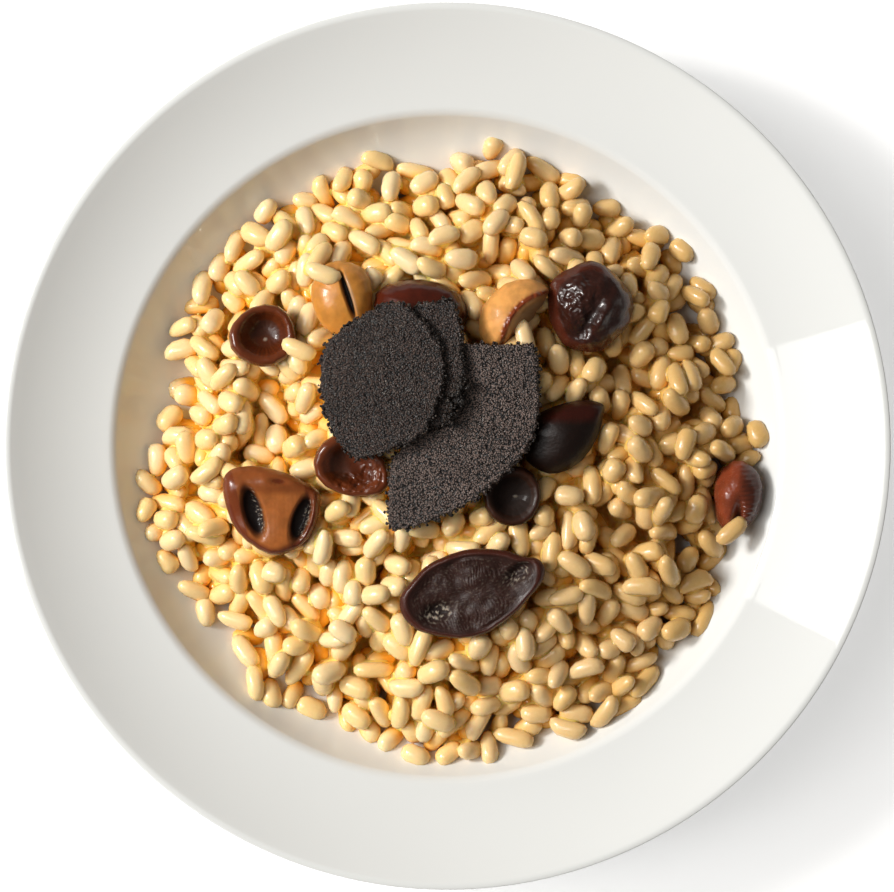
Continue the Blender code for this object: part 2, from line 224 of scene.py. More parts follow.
def makeStage():
    low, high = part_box("plate")
    reach, top = high.x, (low.z + high.z) / 2 + 0.45 * (high.z - low.z)
    eye = bpy.data.cameras.new("camera")
    eye.sensor_width = camera["sensor"]
    eye.lens = camera["fill"] * camera["sensor"] / 2 * (camera["height"] - top) / reach
    seat = bpy.data.objects.new("camera", eye)
    seat.location = (0, 0, camera["height"])
    bpy.context.scene.collection.objects.link(seat)
    bpy.context.scene.camera = seat

    deselectAll()
    bpy.ops.mesh.primitive_plane_add(size=8, location=(0, 0, low.z - 0.2 * mm))
    floor = named("floor")
    white = Paint("floor_white", Roughness=0.9, Emission_Strength=0.4)
    shade = white.noise(0.05, 3)
    shade = white.blend(shade, (0.9, 0.9, 0.9), (0.93, 0.93, 0.93))
    floor.data.materials.append(white.finish(Base_Color=shade))

    away = window["away"]  # a tall upright window to the left, and a small lamp nearer
    foot, head = (away * math.tan(math.radians(window[end])) for end in ("low", "high"))
    size = (2 * away * math.tan(math.radians(window["spread"] / 2)), head - foot)
    place = bearing(window) * away + Vector((0, 0, (foot + head) / 2))
    lampAt("window", size, place, bearing(window), window)
    place = bearing(key) * key["away"] + Vector((0, 0, key["height"]))
    lampAt("key", (key["size"], key["size"]), place, place, key)

    world = bpy.data.worlds.new("studio")
    bpy.context.scene.world = world
    world.use_nodes = True
    dome = world.node_tree.nodes["Background"]
    dome.inputs["Color"].default_value = (*sky["colour"], 1)
    dome.inputs["Strength"].default_value = sky["strength"]
    bpy.context.scene.view_settings.view_transform = "Standard"


makeStage()
print("stage ready")

# ---------- plate

plate = dict(
    radius=125 * mm, wall=4.4 * mm, floorRadius=56 * mm, floorHeight=7 * mm, wellRadius=94.8 * mm,
    wellDepth=20.5 * mm, fullness=0.93, rimSlope=0.16, rimLift=5.4 * mm, footRadius=66 * mm, footWidth=5 * mm,
    footHeight=3 * mm, edgeRound=1.7 * mm, lipRound=0.9 * mm, steps=192,
)


def plateHeight(radius):
    radius = np.asarray(radius, float)
    share = plate["fullness"] * (radius - plate["floorRadius"]) / (plate["wellRadius"] - plate["floorRadius"])
    whole = 1 - math.sqrt(1 - plate["fullness"] ** 2)
    share = np.clip(share, 0, plate["fullness"])
    wall = plate["floorHeight"] + plate["wellDepth"] * (1 - np.sqrt(1 - share**2)) / whole
    along = np.clip((radius - plate["wellRadius"]) / (plate["radius"] - plate["wellRadius"]), 0, 1)
    run = plate["radius"] - plate["wellRadius"]
    return wall + run * plate["rimSlope"] * along + plate["rimLift"] * along**2


def glaze():
    paint = Paint("plate_glaze", IOR=1.42)
    cloud = paint.noise(0.03, 3)
    ripple = paint.noise(0.012, 1)
    foot = paint.ranged(paint.xyz("Z"), 0.3 * mm, 0.7 * mm, 1, 0)  # the foot ring is bare biscuit
    white = paint.blend(cloud, (0.79, 0.8, 0.785), (0.81, 0.82, 0.805))
    return paint.finish(
        Base_Color=paint.blend(foot, white, (0.62, 0.57, 0.5)),
        Roughness=0.015 + cloud * 0.02 + foot * 0.6,
        Normal=paint.bump(ripple, 0.02 * mm, 0.25),
    )


def makePlate():
    edge = plate["radius"] - plate["wall"] / 2
    inner = np.linspace(plate["floorRadius"], plate["wellRadius"], 15)
    rim = np.linspace(plate["wellRadius"], edge, 12)[1:]
    upper = np.concatenate([[0, plate["floorRadius"] / 2], inner, rim])
    top = [(radius, float(plateHeight(radius))) for radius in upper]
    middle = top[-1][1] - plate["wall"] / 2
    lip = []  # a small round over a nearly upright edge
    for angle in np.radians((60, 30, 0)):
        along, rise = (plate["lipRound"] * wave for wave in (math.cos(angle) - 1, math.sin(angle)))
        lip.append((plate["radius"] + along, top[-1][1] + rise))
    lip.append((plate["radius"] - 0.5 * mm, middle))
    lip.append((plate["radius"] - 1.6 * mm, middle - plate["wall"] * 0.42))
    under = []
    for radius in upper[::-1]:
        slope = (plateHeight(radius + mm) - plateHeight(radius - mm)) / (2 * mm)
        lean = math.atan(slope)
        height = float(plateHeight(radius)) - plate["wall"] * math.cos(lean)
        spot = (radius + plate["wall"] * math.sin(lean), height)
        if plate["footRadius"] + 2 * mm < spot[0] < edge:
            under.append(spot)
    outside, inside = plate["footRadius"], plate["footRadius"] - plate["footWidth"]
    base = plate["floorHeight"] - plate["wall"]
    foot = [(outside + mm, plate["footHeight"]), (outside, 0), (inside, 0), (inside - mm, base), (0, base)]
    profile = top + lip + under + foot
    edges = [(i, i + 1) for i in range(len(profile) - 1)]
    piece = built("plate_glazed", [(radius, 0, height) for radius, height in profile], edges, [])

    def corner(vert):  # the well's upper edge
        return abs(vert.co.x - plate["wellRadius"]) < 0.05 * mm and vert.co.z > 20 * mm

    def footCorner(vert):
        return inside - 2 * mm < vert.co.x < outside + 4 * mm and vert.co.z < plate["footHeight"] + 0.1 * mm

    editSelected(piece, corner)
    bpy.ops.mesh.bevel(offset=plate["edgeRound"], segments=8, affect="VERTICES")
    bpy.ops.object.mode_set(mode="OBJECT")
    editSelected(piece, footCorner)
    bpy.ops.mesh.bevel(offset=0.5 * mm, segments=3, affect="VERTICES")
    bpy.ops.mesh.select_all(action="SELECT")
    bpy.ops.mesh.spin(steps=plate["steps"], angle=math.tau, center=(0, 0, 0), axis=(0, 0, 1))
    bpy.ops.mesh.select_all(action="SELECT")
    bpy.ops.mesh.remove_doubles(threshold=0.005 * mm)
    bpy.ops.mesh.normals_make_consistent(inside=False)
    bpy.ops.object.mode_set(mode="OBJECT")
    return keep(piece, glaze(), "glaze", "plate")


makePlate()
print("plate ready")

# ---------- rice

rice = dict(
    cell=0.5 * mm, reach=97 * mm, depth=13 * mm, drop=1.3 * mm, seed=7,
    length=(9.1 * mm, 11.8 * mm), width=(5.3 * mm, 6.2 * mm), sink=1.3 * mm, short=0.6 * mm, over=3.3 * mm,
    stray=0.16, bed=1.6 * mm, spots=14, tries=(4, 9), misses=260, most=2400,
    foot=21 * mm, top=42 * mm, bulge=0.62, brim=0.2 * mm, spill=1.8 * mm, skin=0.2 * mm, gap=1 * mm,
    press=0.2 * mm, lump=15 * mm, lumpHeight=4.8 * mm, lumpSteep=2.6, clump=23 * mm, crevice=6 * mm,
    creviceWidth=0.12, swirl=21 * mm, yawSpread=0.6, pitchSpread=0.14, paintedShade=(-5 * mm, 78 * mm),
)
kinds = {  # share of the grains, stretch, bend in the plane, taper to one end
    "plump": dict(share=0.4, length=0.94, width=1.05, bend=0.03, taper=0.07),
    "long": dict(share=0.26, length=1.1, width=0.95, bend=0.06, taper=0.12),
    "bent": dict(share=0.2, length=1.05, width=0.96, bend=0.2, taper=0.1),
    "blunt": dict(share=0.14, length=0.82, width=1.02, bend=0.04, taper=0.24),
}
heapEdge = {  # degrees from the right, and how far the rice reaches there in millimetres
    0: 93, 15: 90.5, 25: 86, 35: 91, 45: 89, 55: 86, 62: 88.5, 75: 87.5, 82: 89, 93: 83.5, 105: 86,
    120: 85.5, 128: 88, 135: 85.5, 141: 88, 150: 86, 165: 85.5, 180: 87.5, 195: 90.5, 210: 86, 225: 86,
    235: 92, 245: 86, 260: 91, 275: 93.5, 285: 89, 300: 93, 315: 91, 328: 94, 336: 89, 345: 90.5,
}
resting = [  # grains lying over a topping: where in its box from the left and the front, and their turn
    ("mushroom_slice_upper", 0.2, 0.82, -22), ("mushroom_slice_upper", -0.03, 0.53, -78),
    ("mushroom_cup_left", 1.04, 0.28, -22), ("mushroom_cup_left", 0.86, 0.05, -58),
    ("mushroom_rolled", 0.34, 0.03, 42),
    ("mushroom_crescent", 0.66, 0.16, -78), ("mushroom_crescent", 0.98, 0.38, -60),
]
toppings = sorted(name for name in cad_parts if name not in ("plate", "risotto"))


def treeOf(*names):
    points, faces = [], []
    for name in names:
        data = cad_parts[name].data
        faces += [[len(points) + i for i in face.vertices] for face in data.polygons]
        points += [vert.co.copy() for vert in data.vertices]
    return BVHTree.FromPolygons(points, faces)


def smoothed(grid, passes):
    for _ in range(passes):
        wide = np.pad(grid, 1, mode="edge")
        grid = (wide[:-2, 1:-1] + wide[2:, 1:-1] + wide[1:-1, :-2] + wide[1:-1, 2:] + 4 * grid) / 8
    return grid


class Heap:  # height maps of the heap on a square grid, and the grains laid on it
    def __init__(self):
        self.cell = rice["cell"]
        self.half = int(rice["reach"] / self.cell)
        line = np.arange(-self.half, self.half + 1) * self.cell
        self.x, self.y = np.meshgrid(line, line, indexing="ij")
        radius = np.hypot(self.x, self.y)
        self.plate = plateHeight(radius) + rice["skin"]
        angle = np.degrees(np.arctan2(self.y, self.x))
        edge = np.interp(angle % 360, list(heapEdge), list(heapEdge.values()), period=360) * mm
        edge = np.minimum(edge + rice["spill"], plate["wellRadius"])
        inward = edge - radius
        self.inside = inward > 0
        heapTree, toppingTree = treeOf("risotto"), treeOf(*toppings)
        brim = plateHeight(np.minimum(radius, edge)) + rice["brim"] + np.clip(inward, 0, None)
        foot = np.maximum(plateHeight(edge) + 1.5 * mm, rice["foot"])
        cone = foot + (rice["top"] - foot) * np.clip(1 - radius / edge, 0, 1) ** rice["bulge"]
        self.target = np.minimum(brim, cone + self.lumps())
        self.ceiling = np.full(self.x.shape, 1.0)  # undersides of the toppings
        for i, j in np.argwhere(self.inside):
            spot = Vector((self.x[i, j], self.y[i, j], 0.1))
            hit = heapTree.ray_cast(spot, Vector((0, 0, -1)))[0]
            if hit:
                self.target[i, j] = min(self.target[i, j], hit.z)
            spot.z = plate["floorHeight"]
            under = toppingTree.ray_cast(spot, Vector((0, 0, 1)))[0]
            if under:
                self.ceiling[i, j] = under.z
                self.target[i, j] = under.z  # the heap rises to carry it
        self.surface = smoothed(self.target, 8)
        self.target = self.surface - rice["drop"] - self.crevices()
        self.target = np.minimum(self.target, self.ceiling - rice["gap"])
        low = smoothed(self.target, 60) - np.clip(inward * 1.1, 3 * mm, rice["depth"])
        self.height = np.maximum(low, self.plate - rice["bed"])
        self.limit = self.target + rice["over"]  # no towers
        self.grains = []

    def coarse(self, rule):  # a slow rule, worked out for every fourth cell
        step = 4
        grid = np.zeros(self.x.shape)
        for i in range(0, len(self.x), step):
            for j in range(0, len(self.x), step):
                grid[i : i + step, j : j + step] = rule(self.x[i, j], self.y[i, j])
        return grid

    def lumps(self):
        rise = self.coarse(lambda x, y: noise.noise(Vector((x, y, 30 * mm)) / rice["lump"]))
        return rice["lumpHeight"] * smoothed(np.clip(rice["lumpSteep"] * rise, -1, 1), 6)

    def crevices(self):
        def depth(x, y):
            spot = Vector((x, y, 0)) / rice["clump"]
            warp = spot * 2.3
            spot += 0.3 * Vector((noise.noise(warp), noise.noise(warp + Vector((7, 2, 4))), 0))
            near = noise.voronoi(spot)[0]
            fade = 0.5 + 0.5 * noise.noise(spot * 0.9 + Vector((5, 3, 1)))
            fade *= 1 + np.clip(x / rice["reach"], 0, 1)  # looser to the right
            return fade * math.exp(-(near[1] - near[0]) / rice["creviceWidth"])

        return rice["crevice"] * smoothed(self.coarse(depth), 8)

    def lay(self, x, y, size, draw, tries):  # lets one grain down, in the best of a few attitudes
        length = size[0]
        i, j = (int(round(place / self.cell)) + self.half for place in (x, y))
        n = int(length / 2 / self.cell) + 1
        if min(i, j) < n or max(i, j) > 2 * self.half - n:
            return False
        window = (slice(i - n, i + n + 1), slice(j - n, j + n + 1))
        line = np.arange(-n, n + 1) * self.cell
        u, v = np.meshgrid(line, line, indexing="ij")
        heights, ceiling, inside = self.height[window], self.ceiling[window], self.inside[window]
        limit, stray = self.limit[window], (draw.random() < rice["stray"]) * draw.uniform(1, 4) * mm
        swirl = math.tau * noise.noise(Vector((x, y, 0)) / rice["swirl"])
        best = None
        for _ in range(tries):
            yaw = swirl + draw.normal(0, rice["yawSpread"])
            c, s = math.cos(yaw), math.sin(yaw)
            step = int(0.3 * length / self.cell)
            ends = [heights[n + int(side * step * c), n + int(side * step * s)] for side in (-1, 1)]
            pitch = math.atan(np.clip((ends[1] - ends[0]) / (0.6 * length), -0.8, 0.8))
            pitch += draw.normal(0, rice["pitchSpread"])
            turn = (Matrix.Rotation(yaw, 3, "Z") @ Matrix.Rotation(-pitch, 3, "Y")
                    @ Matrix.Rotation(draw.uniform(0, math.tau), 3, "X"))
            form = np.array(turn @ Matrix.Diagonal([(2 / side) ** 2 for side in size]) @ turn.transposed())
            middle = form[0, 2] * u + form[1, 2] * v
            rest = form[0, 0] * u**2 + 2 * form[0, 1] * u * v + form[1, 1] * v**2 - 1
            root = middle**2 - form[2, 2] * rest
            footprint = root > 0
            root = np.sqrt(np.clip(root, 0, None))
            under, over = (-middle - root) / form[2, 2], (-middle + root) / form[2, 2]
            core = footprint & (rest < -0.2)
            level = (heights - under)[core].max() - rice["sink"]
            top = (level + over)[footprint]
            if not inside[footprint].all() or (top - ceiling[footprint]).max() > rice["press"]:
                continue
            if (top - limit[footprint]).max() > stray:
                continue
            if best is None or level < best[0]:
                best = (level, turn, footprint, over)
        if best is None:
            return False
        level, turn, footprint, over = best
        heights[footprint] = np.maximum(heights, level + over)[footprint]
        self.grains.append((x, y, level, turn, size))
        return True


def layRice():
    heap = Heap()
    draw = np.random.default_rng(rice["seed"])
    inside = np.argwhere(heap.inside)
    names = list(kinds)
    shares = [kinds[name]["share"] for name in names]
    heap.kind = []
    misses = 0
    while misses < rice["misses"] and len(heap.grains) < rice["most"]:
        spots = inside[draw.integers(len(inside), size=rice["spots"])]
        wanting = (heap.target - heap.height)[spots[:, 0], spots[:, 1]]
        i, j = spots[wanting.argmax()]
        if wanting.max() < rice["short"]:
            misses += 1
            continue
        kind = draw.choice(len(names), p=shares)
        length = draw.uniform(*rice["length"]) * kinds[names[kind]]["length"]
        width = draw.uniform(*rice["width"]) * kinds[names[kind]]["width"]
        size = (length, width, width * draw.uniform(0.86, 1))
        if heap.lay(heap.x[i, j], heap.y[i, j], size, draw, int(draw.integers(*rice["tries"]))):
            heap.kind.append(kind)
            misses = 0
        else:  # nothing fits here
            heap.target[i - 1 : i + 2, j - 1 : j + 2] = 0
            misses += 1
    tops = treeOf(*toppings)
    for name, across, along, yaw in resting:
        low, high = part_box(name)
        x, y = low.x + across * (high.x - low.x), low.y + along * (high.y - low.y)
        hit = tops.ray_cast(Vector((x, y, 0.1)), Vector((0, 0, -1)))[0]
        level = heap.height[int(x / heap.cell) + heap.half, int(y / heap.cell) + heap.half]
        level = max(level, hit.z) if hit else level
        size = (rice["length"][1] * 0.95, rice["width"][0], rice["width"][0] * 0.9)
        turn = Matrix.Rotation(math.radians(yaw), 3, "Z")
        heap.grains.append((x, y, level + 0.3 * size[2], turn, size))
        heap.kind.append(names.index("plump"))
    heap.draw = draw
    return heap


def grainShape():  # one grain as a ball of a few dozen faces
    deselectAll()
    bpy.ops.mesh.primitive_cube_add(size=1)
    ball = named("grain")
    bpy.ops.object.mode_set(mode="EDIT")
    bpy.ops.mesh.select_all(action="SELECT")
    bpy.ops.mesh.subdivide(number_cuts=2)
    bpy.ops.transform.tosphere(value=1)
    bpy.ops.object.mode_set(mode="OBJECT")
    points = pointsOf(ball)
    points /= np.linalg.norm(points, axis=1)[:, None]
    faces = np.array([tuple(face.vertices) for face in ball.data.polygons])
    bpy.data.objects.remove(ball)
    return points, faces


def cookedRice():
    paint = Paint("rice_cooked", Subsurface_Weight=0.6, Subsurface_Scale=1.2 * mm, IOR=1.36)
    paint.shader.inputs["Subsurface Radius"].default_value = (1.0, 0.75, 0.5)
    paint.shader.inputs["Coat Roughness"].default_value = 0.12
    paint.shader.inputs["Coat Weight"].default_value = 0.4
    tone, depth = paint.attribute("tone"), paint.attribute("depth")
    cloud = paint.noise(2.2 * mm, 2)
    pale, gold, deep = (0.95, 0.725, 0.425), (0.95, 0.655, 0.28), (0.94, 0.47, 0.05)
    body = paint.blend(paint.ranged(tone + cloud * 0.5, 0.2, 1.3), pale, gold)
    # painted shade: grains lying below the smoothed heap level turn deep orange, for the shade and bounced
    # light between grains
    body = paint.blend(paint.ranged(depth, -0.4 * mm, 3 * mm), body, deep)
    across = paint.xyz("X") + cloud * 12 * mm
    paintedShade = paint.ranged(across, *rice["paintedShade"], 0, 0.7)  # painted shade: browner to the right, where the heap's right flank lies in shade
    body = paint.blend(paintedShade, body, (0.57, 0.34, 0.1))
    skin = paint.noise(0.9 * mm, 3)
    return paint.finish(
        Base_Color=body,
        Roughness=paint.ranged(cloud, 0.3, 0.7, 0.2, 0.36),
        Normal=paint.bump(skin, 0.05 * mm, 0.5),
    )


def makeRice():
    heap = layRice()
    print(len(heap.grains), "grains laid")
    points, faces = grainShape()
    draw = heap.draw
    cooked = cookedRice()
    x, y, z = points.T
    blunt = np.sign(x) * np.abs(x) ** 0.8
    level = smoothed(heap.height, 120)
    for number, name in enumerate(kinds):
        kind = kinds[name]
        chosen = [grain for grain, its in zip(heap.grains, heap.kind) if its == number]
        spots, tones = [], []
        for px, py, pz, turn, size in chosen:
            bend = kind["bend"] + draw.normal(0, 0.03)
            taper = 1 + (kind["taper"] + draw.normal(0, 0.06)) * x
            wobble = 1 + 0.05 * np.sin(3 * x + draw.uniform(0, 6)) * np.sin(2 * y + draw.uniform(0, 6))
            full = 1 + 0.1 * (1 - x**2) * np.abs(x)
            u = blunt * size[0] / 2 * wobble
            v = y * size[1] / 2 * taper * wobble * full + bend * (x**2 - 0.4) * size[0] / 2
            w = z * size[2] / 2 * taper * wobble * full
            spots.append(np.stack([u, v, w], 1) @ np.array(turn).T + (px, py, pz))
            tones.append(np.full(len(points), draw.random()))
        corners = faces[None] + np.arange(len(chosen))[:, None, None] * len(points)
        spots = np.concatenate(spots)
        piece = built("rice_" + name, spots.tolist(), [], corners.reshape(-1, 4).tolist())
        i, j = (np.round(spots[:, k] / heap.cell).astype(int) + heap.half for k in (0, 1))
        store(piece, "tone", np.concatenate(tones))
        store(piece, "depth", level[i, j] - spots[:, 2])
        keep(piece, cooked, "rice")
    return heap


heap = makeRice()
print("rice ready")

# ---------- the cream between the grains, over the plain core

cream = dict(sink=0.5 * mm, skip=2)


def creamSauce():
    paint = Paint("risotto_cream", Subsurface_Weight=0.6, Subsurface_Scale=2 * mm, IOR=1.4)
    paint.shader.inputs["Subsurface Radius"].default_value = (1.0, 0.5, 0.2)
    grain = paint.noise(3 * mm, 3)
    # painted shade: the cream is browner to the right as well
    paintedShade = paint.ranged(paint.xyz("X"), *rice["paintedShade"], 0, 0.85)
    # the sauce's orange is partly its own colour and partly painted light bounced between the grains
    body = paint.blend(grain, (0.99, 0.64, 0.15), (0.99, 0.71, 0.22))
    return paint.finish(
        Base_Color=paint.blend(paintedShade, body, (0.6, 0.3, 0.07)),
        Roughness=paint.ranged(grain, 0.3, 0.7, 0.18, 0.35),
        Normal=paint.bump(grain, 0.1 * mm, 0.4),
    )


def makeCream(heap):
    every = (slice(None, None, cream["skip"]),) * 2
    level = np.minimum(smoothed(heap.height, 14) - cream["sink"], heap.height - 0.5 * mm)
    level = np.where(heap.inside, np.maximum(smoothed(level, 3), heap.plate), heap.plate)
    x, y, level, bed = (grid[every] for grid in (heap.x, heap.y, level, heap.plate))
    covered = heap.inside & (heap.height > heap.plate + 1.5 * mm)
    used = smoothed(covered.astype(float), 20)[every] > 0.9
    index = -np.ones(x.shape, int)
    index[used] = np.arange(used.sum())
    count = int(used.sum())
    top = np.column_stack([x[used], y[used], level[used]])
    under = np.column_stack([x[used], y[used], np.minimum(bed, level)[used] - 0.1 * mm])
    square = used[:-1, :-1] & used[1:, :-1] & used[1:, 1:] & used[:-1, 1:]
    i, j = np.nonzero(square)
    corners = index[i, j], index[i + 1, j], index[i + 1, j + 1], index[i, j + 1]
    faces = np.column_stack(corners)
    everything = faces.tolist() + (faces[:, ::-1] + count).tolist()
    wide = np.pad(square, 1)
    for side, (across, along) in enumerate(((0, -1), (1, 0), (0, 1), (-1, 0))):  # the outer wall
        outer = ~wide[i + 1 + across, j + 1 + along]
        first, second = corners[side][outer], corners[(side + 1) % 4][outer]
        everything += np.column_stack([second, first, first + count, second + count]).tolist()
    piece = built("risotto_cream", np.concatenate([top, under]).tolist(), [], everything)
    editSelected(piece, lambda vert: False)
    bpy.ops.mesh.select_loose()
    bpy.ops.mesh.delete(type="VERT")
    bpy.ops.object.mode_set(mode="OBJECT")
    return keep(piece, creamSauce(), "rice", "risotto")


makeCream(heap)
print("cream ready")

# ---------- mushrooms


def curve(stops, share):  # smooth open curve through evenly spaced stops
    stops = np.array(stops, float)
    spot = np.clip(share, 0, 1) * (len(stops) - 1)
    i = np.minimum(spot.astype(int), len(stops) - 2)
    f = (spot - i)[:, None]
    a, b, c, d = (stops[np.clip(i + k, 0, len(stops) - 1)] for k in (-1, 0, 1, 2))
    return 0.5 * (2 * b + (c - a) * f + (2 * a - 5 * b + 4 * c - d) * f**2 + (3 * b - a - 3 * c + d) * f**3)


def roughness(points, size, seed=0):  # smooth noise of about this size at every point
    shift = Vector((seed * 3.7, seed * 1.3, seed * 5.1))
    return np.array([noise.noise(Vector(point) / size + shift) for point in points])


def edgeOf(name, count=96):  # how far a node reaches from the middle of its box, by angle
    tree = treeOf(name)
    low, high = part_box(name)
    reach = np.zeros(count)
    for i in range(count):
        angle = math.tau * i / count
        ray = Vector((math.cos(angle), math.sin(angle), 0))
        for share in (0.2, 0.35, 0.5, 0.65, 0.8):
            start = (low + high) / 2 + 60 * mm * ray
            start.z = low.z + share * (high.z - low.z)
            hit = tree.ray_cast(start, -ray)[0]
            if hit:
                reach[i] = max(reach[i], 60 * mm - (hit - start).length)
    return reach


class Clay:  # a ball turned into a mushroom with its node's outline, ready for details
    def __init__(self, name, rows, segments=144, rings=88):
        deselectAll()
        bpy.ops.mesh.primitive_uv_sphere_add(segments=segments, ring_count=rings, radius=1)
        self.node, self.piece = name, named(name + "_cooked")
        ball = pointsOf(self.piece)
        self.angle = np.arctan2(ball[:, 1], ball[:, 0])
        self.along = np.arccos(np.clip(ball[:, 2], -1, 1)) / math.pi
        reach = edgeOf(name)
        turn = np.linspace(0, math.tau, len(reach), endpoint=False)
        radius = np.interp(self.angle % math.tau, turn, reach, period=math.tau)
        self.share, self.z = curve(rows, self.along).T
        self.z = self.z * mm
        self.x, self.y = (self.share * radius * wave for wave in (np.cos(self.angle), np.sin(self.angle)))
        self.upper = np.clip(1.4 - 1.6 * self.along, 0, 1)
        self.masks = {key: np.zeros(len(ball)) for key in ("lip", "pit", "flesh", "rib", "crumb")}

    def dent(self, x, y, length, width, turn, deep, power=2):  # a hollow, sizes in mm; gives its mask
        c, s = math.cos(math.radians(turn)), math.sin(math.radians(turn))
        u = ((self.x / mm - x) * c + (self.y / mm - y) * s) / length
        v = (-(self.x / mm - x) * s + (self.y / mm - y) * c) / width
        mask = np.exp(-((u**2 + v**2) ** (power / 2))) * (self.upper > 0.2)
        self.z -= deep * mm * mask
        return mask

    def lumps(self, size, height, seed):
        points = np.column_stack([self.x, self.y, self.z])
        rise = roughness(points, size * mm, seed) * height * mm
        self.z += rise * self.upper
        grow = 1 + roughness(points, size * 1.6 * mm, seed + 9) * height * mm / np.hypot(self.x, self.y).max()
        self.x, self.y = self.x * grow, self.y * grow

    def mark(self, **masks):
        for key, mask in masks.items():
            self.masks[key] = np.maximum(self.masks[key], np.clip(mask, 0, 1))

    def bake(self, material, slot="mushroom_brown", lean=(0, 0)):
        points = np.column_stack([self.x, self.y, self.z])
        points = points @ np.array(Euler([math.radians(a) for a in (*lean, 0)]).to_matrix()).T
        low, high = (np.array(corner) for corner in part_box(self.node))
        least, most = points.min(0), points.max(0)
        scale = (high - low) / (most - least)
        scale[2] = max(scale[2], 0.9)
        points = (points - (least + most) / 2) * scale
        points += (low + high) / 2
        movePoints(self.piece, points)
        for key, mask in self.masks.items():
            store(self.piece, key, mask)
        return keep(self.piece, material, slot, self.node)


def mushroomSkin(name, skin, lip, pit, flesh, gloss=0.2, wrinkle=0.5, grain=1.0, coat=0.35):
    paint = Paint(name, Subsurface_Weight=0.1, Subsurface_Scale=1 * mm, IOR=1.33)
    paint.shader.inputs["Coat Roughness"].default_value = 0.12
    paint.shader.inputs["Coat Weight"].default_value = coat
    cloud, fine = paint.noise(3.5 * mm, 3), paint.noise(0.8 * mm * grain, 4)
    masks = {key: paint.attribute(key) for key in ("lip", "pit", "flesh", "rib", "crumb")}
    body = paint.blend(paint.ranged(cloud, 0.35, 0.65), [c * 0.84 for c in skin], [c * 1.14 for c in skin])
    body = paint.blend(masks["lip"], body, lip)
    body = paint.blend(masks["flesh"], body, flesh)
    body = paint.blend(masks["pit"], body, pit)
    # pale crumbs; where the crumb mask follows wet edges or specks, the pale colour is a painted highlight
    body = paint.blend(masks["crumb"], body, (0.42, 0.35, 0.27))
    height = fine * wrinkle + masks["rib"]
    rough = (1 - masks["lip"]) * gloss + masks["lip"] * 0.18 + fine * 0.12
    return paint.finish(
        Base_Color=body,
        Roughness=rough + masks["pit"] * 0.3 + masks["flesh"] * 0.12,
        Normal=paint.bump(height, 0.25 * mm, 0.8),
    )


nearBlack = (0.012, 0.006, 0.005)
# half sections from the middle of the top round to the middle below: share of the outline, height in mm
dish = [(0, 3.5), (0.25, 3.7), (0.45, 4.5), (0.62, 5.9), (0.76, 7.2), (0.87, 7.45), (0.95, 6.9), (0.99, 5.8),
        (1, 4.6), (0.95, 3), (0.8, 1.2), (0.5, 0.2), (0, 0)]
dome = [(0, 9), (0.3, 8.7), (0.55, 7.9), (0.75, 6.6), (0.9, 4.9), (0.98, 3.3), (1, 2.4), (0.97, 1.4),
        (0.85, 0.6), (0.6, 0.2), (0, 0)]
slab = [(0, 7), (0.35, 7), (0.62, 6.95), (0.8, 6.6), (0.92, 5.7), (0.99, 4.2), (1, 2.8), (0.95, 1.3),
        (0.8, 0.3), (0.5, 0), (0, 0)]


def ring(clay, low, high):  # mask of a band of the plan, from one share of the outline to another
    soft = 0.06
    rise, fall = (np.clip(run / soft, 0, 1) for run in (clay.share - low, high - clay.share))
    return rise * fall * (clay.upper > 0)


def sparkle(clay, mask, size, seed):  # pale specks within a mask, raised a little: crumbs in places, painted glints on wet skin in others
    points = np.column_stack([clay.x, clay.y, clay.z])
    stars = np.clip(roughness(points, size * mm, seed) * 4 - 0.9, 0, 1) * mask
    clay.z += stars * 0.5 * mm
    clay.mark(crumb=stars)


